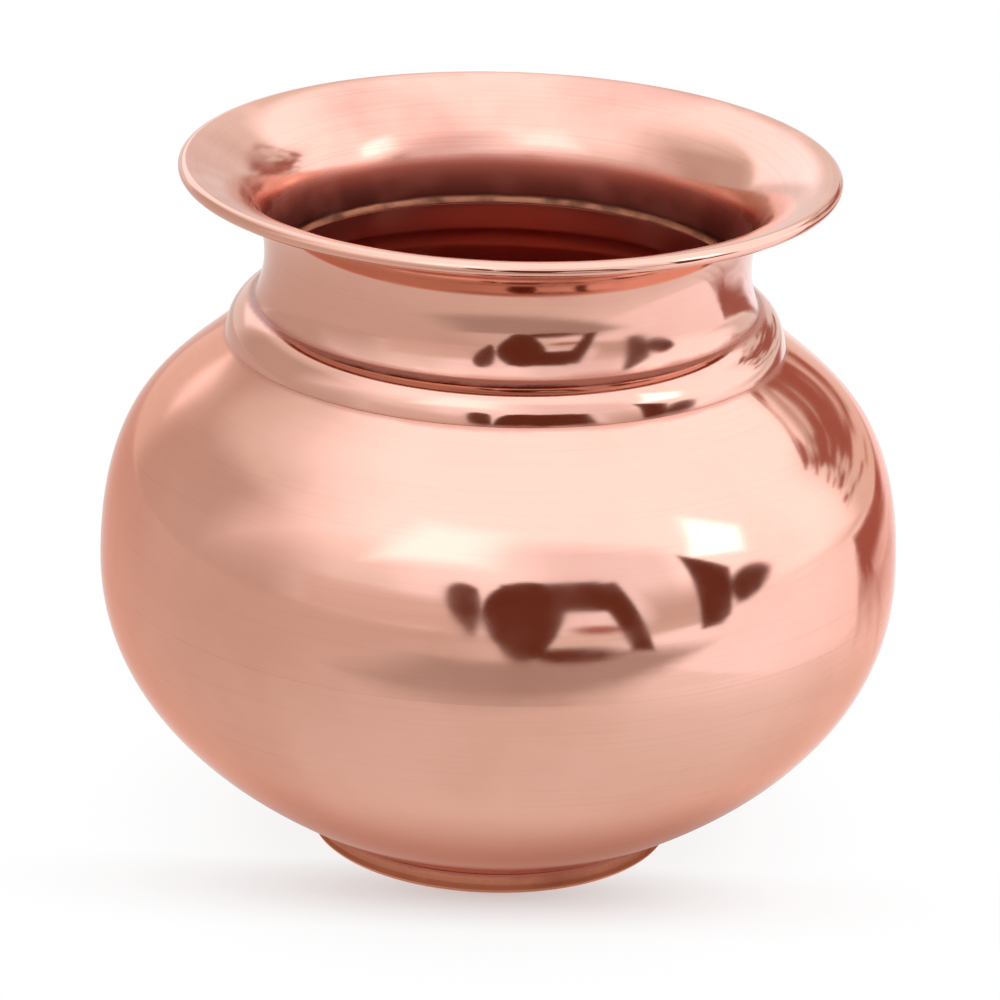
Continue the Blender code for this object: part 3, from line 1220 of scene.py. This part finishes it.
FLOOR_CARDS = (
    # Painted shade: the floor's left, darker in reflections, where less light falls on it.
    Card(
        "left_floor_painted_shade", laid(0.0015, (-2.2, -1.7), (0.15, -1.7), (0.15, 1.2), (-2.2, 1.2)), warm(0.71),
        softness=(0.33, 0.36),
    ),
    # Painted light: the floor's right, brighter in reflections, where the light falls from the right.
    Card(
        "right_floor_painted_light", laid(0.0015, (0.04, -0.5), (1.7, -0.5), (1.7, 0.5), (0.04, 0.5)), cool(1.42),
        softness=(0.15, 0.4),
    ),
    Card(
        "front_strip", laid(0.0025, (-0.16, -0.32), (0.28, -0.32), (0.28, -0.14), (-0.16, -0.14)), warm(0.50),
        softness=(0.5, 0.5), ragged=0.6,
    ),
    # Painted shadow: the pot's shadow round its foot, as it shows in reflections.
    Card(
        "foot_painted_shadow", laid(0.0006, (-0.055, -0.055), (0.055, -0.055), (0.055, 0.055), (-0.055, 0.055)), SHADY,
        softness=(0.5, 0.5), cut=Outline.ROUND,
    ),
    Card(
        "side_mat", laid(0.003, (0.065, 0.05), (0.12, 0.02), (0.6, 0.3), (0.2, 0.6)), BROWN,
        softness=(0.6, 0.5), ragged=1.0, grain=(6.0, 6.0),
    ),
)
DARK_CARDS = (
    Card(
        "strip_left", hung(0.45, (-10, -5), (-4, -4), (-5, 23), (-19, 20)), DARK,
        softness=(0.12, 0.12), ragged=0.6, cut=Outline.ROUND,
    ),
    Card(
        "blob_left", hung(0.26, (-3, -13), (18, -13), (24, 23), (-7, 22)), DARK,
        softness=(0.10, 0.10), ragged=0.5, cut=Outline.ROUND,
    ),
    Card(
        "blob_top", hung(0.26, (0, 7), (37, 4), (33, 20.5), (0, 21.5)), DARK,
        softness=(0.15, 0.15), ragged=0.5,
    ),
    Card(
        "blob_leg", hung(0.26, (40, -11), (48, -12), (37, 19.5), (25, 19.5)), DARK,
        softness=(0.25, 0.10), ragged=0.8,
    ),
    Card(
        "blob_sill", hung(0.26, (4, -13), (42, -13), (42, -7), (4, -6)), DARK,
        softness=(0.3, 0.5), ragged=1.5, cut=Outline.ROUND,
    ),
    Card(
        "blob_streak", hung(0.26, (18, -3), (40, -5), (42, -1), (20, 1)), BROWN,
        softness=(0.4, 0.6), ragged=1.5, cut=Outline.ROUND,
    ),
    Card(
        "wedge_right", hung(0.45, (60, -13), (70, -5), (72, 13), (57, 28)), DARK,
        softness=(0.2, 0.10), ragged=0.8,
    ),
    Card(
        "wedge_tail", hung(0.45, (68, -5), (84, -1), (88, 10), (69, 13)), DARK,
        softness=(0.3, 0.3), ragged=1.2, cut=Outline.ROUND,
    ),
    Card(
        "side_band", hung(0.60, (121, 1), (160, -3), (160, 29), (121, 28)), BROWN,
        softness=(0.5, 0.9), ragged=5.0, grain=(2.5, 9.0),
    ),
)


@dataclass(frozen=True)
class Shade:
    """An oval place on the floor that keeps some of its shadow, and away from which the floor turns white.

    The ramp is where, in shares of its reach, the white starts to rise and where it is full.
    """

    middle: tuple[float, float]
    reach: tuple[float, float]
    ramp: tuple[float, float]
    white: float

    def whiteness(self, graph: Graph, place: Socket) -> Socket:
        """How white the floor is.

        Args:
            graph: The floor's nodes.
            place: A point of the floor.

        Returns:
            The share of plain white at the point.
        """
        shrink = (1 / self.reach[0], 1 / self.reach[1], 0.0)
        offset = graph.node("VectorMath", {0: place, 1: (*self.middle, 0.0)}, operation="SUBTRACT").outputs[0]
        scaled = graph.node("VectorMath", {0: offset, 1: shrink}, operation="MULTIPLY").outputs[0]
        away = graph.node("VectorMath", {0: scaled}, operation="LENGTH").outputs["Value"]
        return graph.spread(away, *self.ramp, self.white, 1.0)


@dataclass
class Studio:
    """Pale floor, soft light, cards and camera."""

    elevation: float = 20.4
    distance: float = 0.84
    aim_height: float = 0.0527
    pixels_per_metre: float = 6638.0
    sensor: float = 36.0
    roll: float = math.radians(1.9)
    floor_size: float = 8.0
    floor_colour: Colour = (0.90, 0.90, 0.90)
    front_shade: Shade = Shade((0.0, -0.027), (0.088, 0.019), (-0.25, 1.05), 0.30)
    foot_shade: Shade = Shade((0.0, 0.0), (0.070, 0.070), (0.35, 1.0), 0.85)
    lamp_place: tuple[float, float, float] = (0.55, -0.45, 0.95)
    lamp_size: float = 0.9
    lamp_power: float = 4.0

    def build(self) -> None:
        """Sets up the whole studio."""
        self.add_world()
        self.add_floor()
        self.add_lamp()
        for card in ROOM_CARDS + FLOOR_CARDS + DARK_CARDS:
            card.build()
        self.add_camera()
        bpy.context.scene.view_settings.view_transform = "Standard"

    def add_world(self) -> None:
        """Plain white surroundings."""
        world = bpy.data.worlds.new("studio")
        world.use_nodes = True
        bpy.context.scene.world = world
        backdrop = world.node_tree.nodes["Background"]
        backdrop.inputs["Color"].default_value = (1.0, 1.0, 1.0, 1.0)
        backdrop.inputs["Strength"].default_value = 1.0

    def add_floor(self) -> None:
        """Pale floor that turns white away from the pot and keeps the shadow close to its foot."""
        bpy.ops.object.select_all(action="DESELECT")
        bpy.ops.mesh.primitive_plane_add(size=self.floor_size, location=(0.0, 0.0, 0.0))
        floor = bpy.context.object
        floor.name = "floor"
        made = bpy.data.materials.new("floor")
        made.use_nodes = True
        graph = Graph(made.node_tree)
        made.node_tree.nodes.remove(made.node_tree.nodes["Principled BSDF"])
        paint = graph.node("BsdfDiffuse", {"Color": (*self.floor_colour, 1.0)}).outputs[0]
        white = graph.node("Emission", {"Strength": 1.0}).outputs[0]
        place = graph.node("TexCoord").outputs["Object"]
        shades = [shade.whiteness(graph, place) for shade in (self.front_shade, self.foot_shade)]
        share = graph.math("MULTIPLY", graph.seen(), graph.math("MINIMUM", *shades))
        mixed = graph.node("MixShader", {0: share, 1: paint, 2: white}).outputs[0]
        graph.feed(made.node_tree.nodes["Material Output"].inputs["Surface"], mixed)
        floor.data.materials.append(made)

    def add_lamp(self) -> None:
        """One large soft lamp to the right of the camera, for the pot's shadow."""
        bpy.ops.object.light_add(type="AREA", location=self.lamp_place)
        lamp = bpy.context.object
        lamp.name = "soft_lamp"
        lamp.data.shape = "DISK"
        lamp.data.size = self.lamp_size
        lamp.data.energy = self.lamp_power
        lamp.visible_glossy = False
        lamp.rotation_euler = (-lamp.location).to_track_quat("-Z", "Y").to_euler()

    def add_camera(self) -> None:
        """Camera at the photograph's angle, rolled as it was held."""
        aim = Vector((0.0, 0.0, self.aim_height))
        back = towards(0.0, self.elevation)
        bpy.ops.object.camera_add(location=aim + back * self.distance)
        camera = bpy.context.object
        camera.data.sensor_width = self.sensor
        camera.data.lens = self.sensor * self.distance * self.pixels_per_metre / IMAGE_SIDE
        turn = (-back).to_track_quat("-Z", "Y").to_matrix().to_4x4() @ Matrix.Rotation(self.roll, 4, "Z")
        camera.rotation_euler = turn.to_euler()
        bpy.context.scene.camera = camera


def main() -> None:
    """Builds the pot from the foot up, then the studio."""
    logging.basicConfig(level=logging.INFO, format="%(name)s %(message)s")
    gauge = Gauge()
    lathe = Lathe()
    foot = Foot(gauge, lathe)
    neck = Neck(gauge, lathe)
    body = Body(gauge, lathe, foot, neck)
    for part in (foot, body, neck, Studio()):
        part.build()


if __name__ == "__main__":
    main()
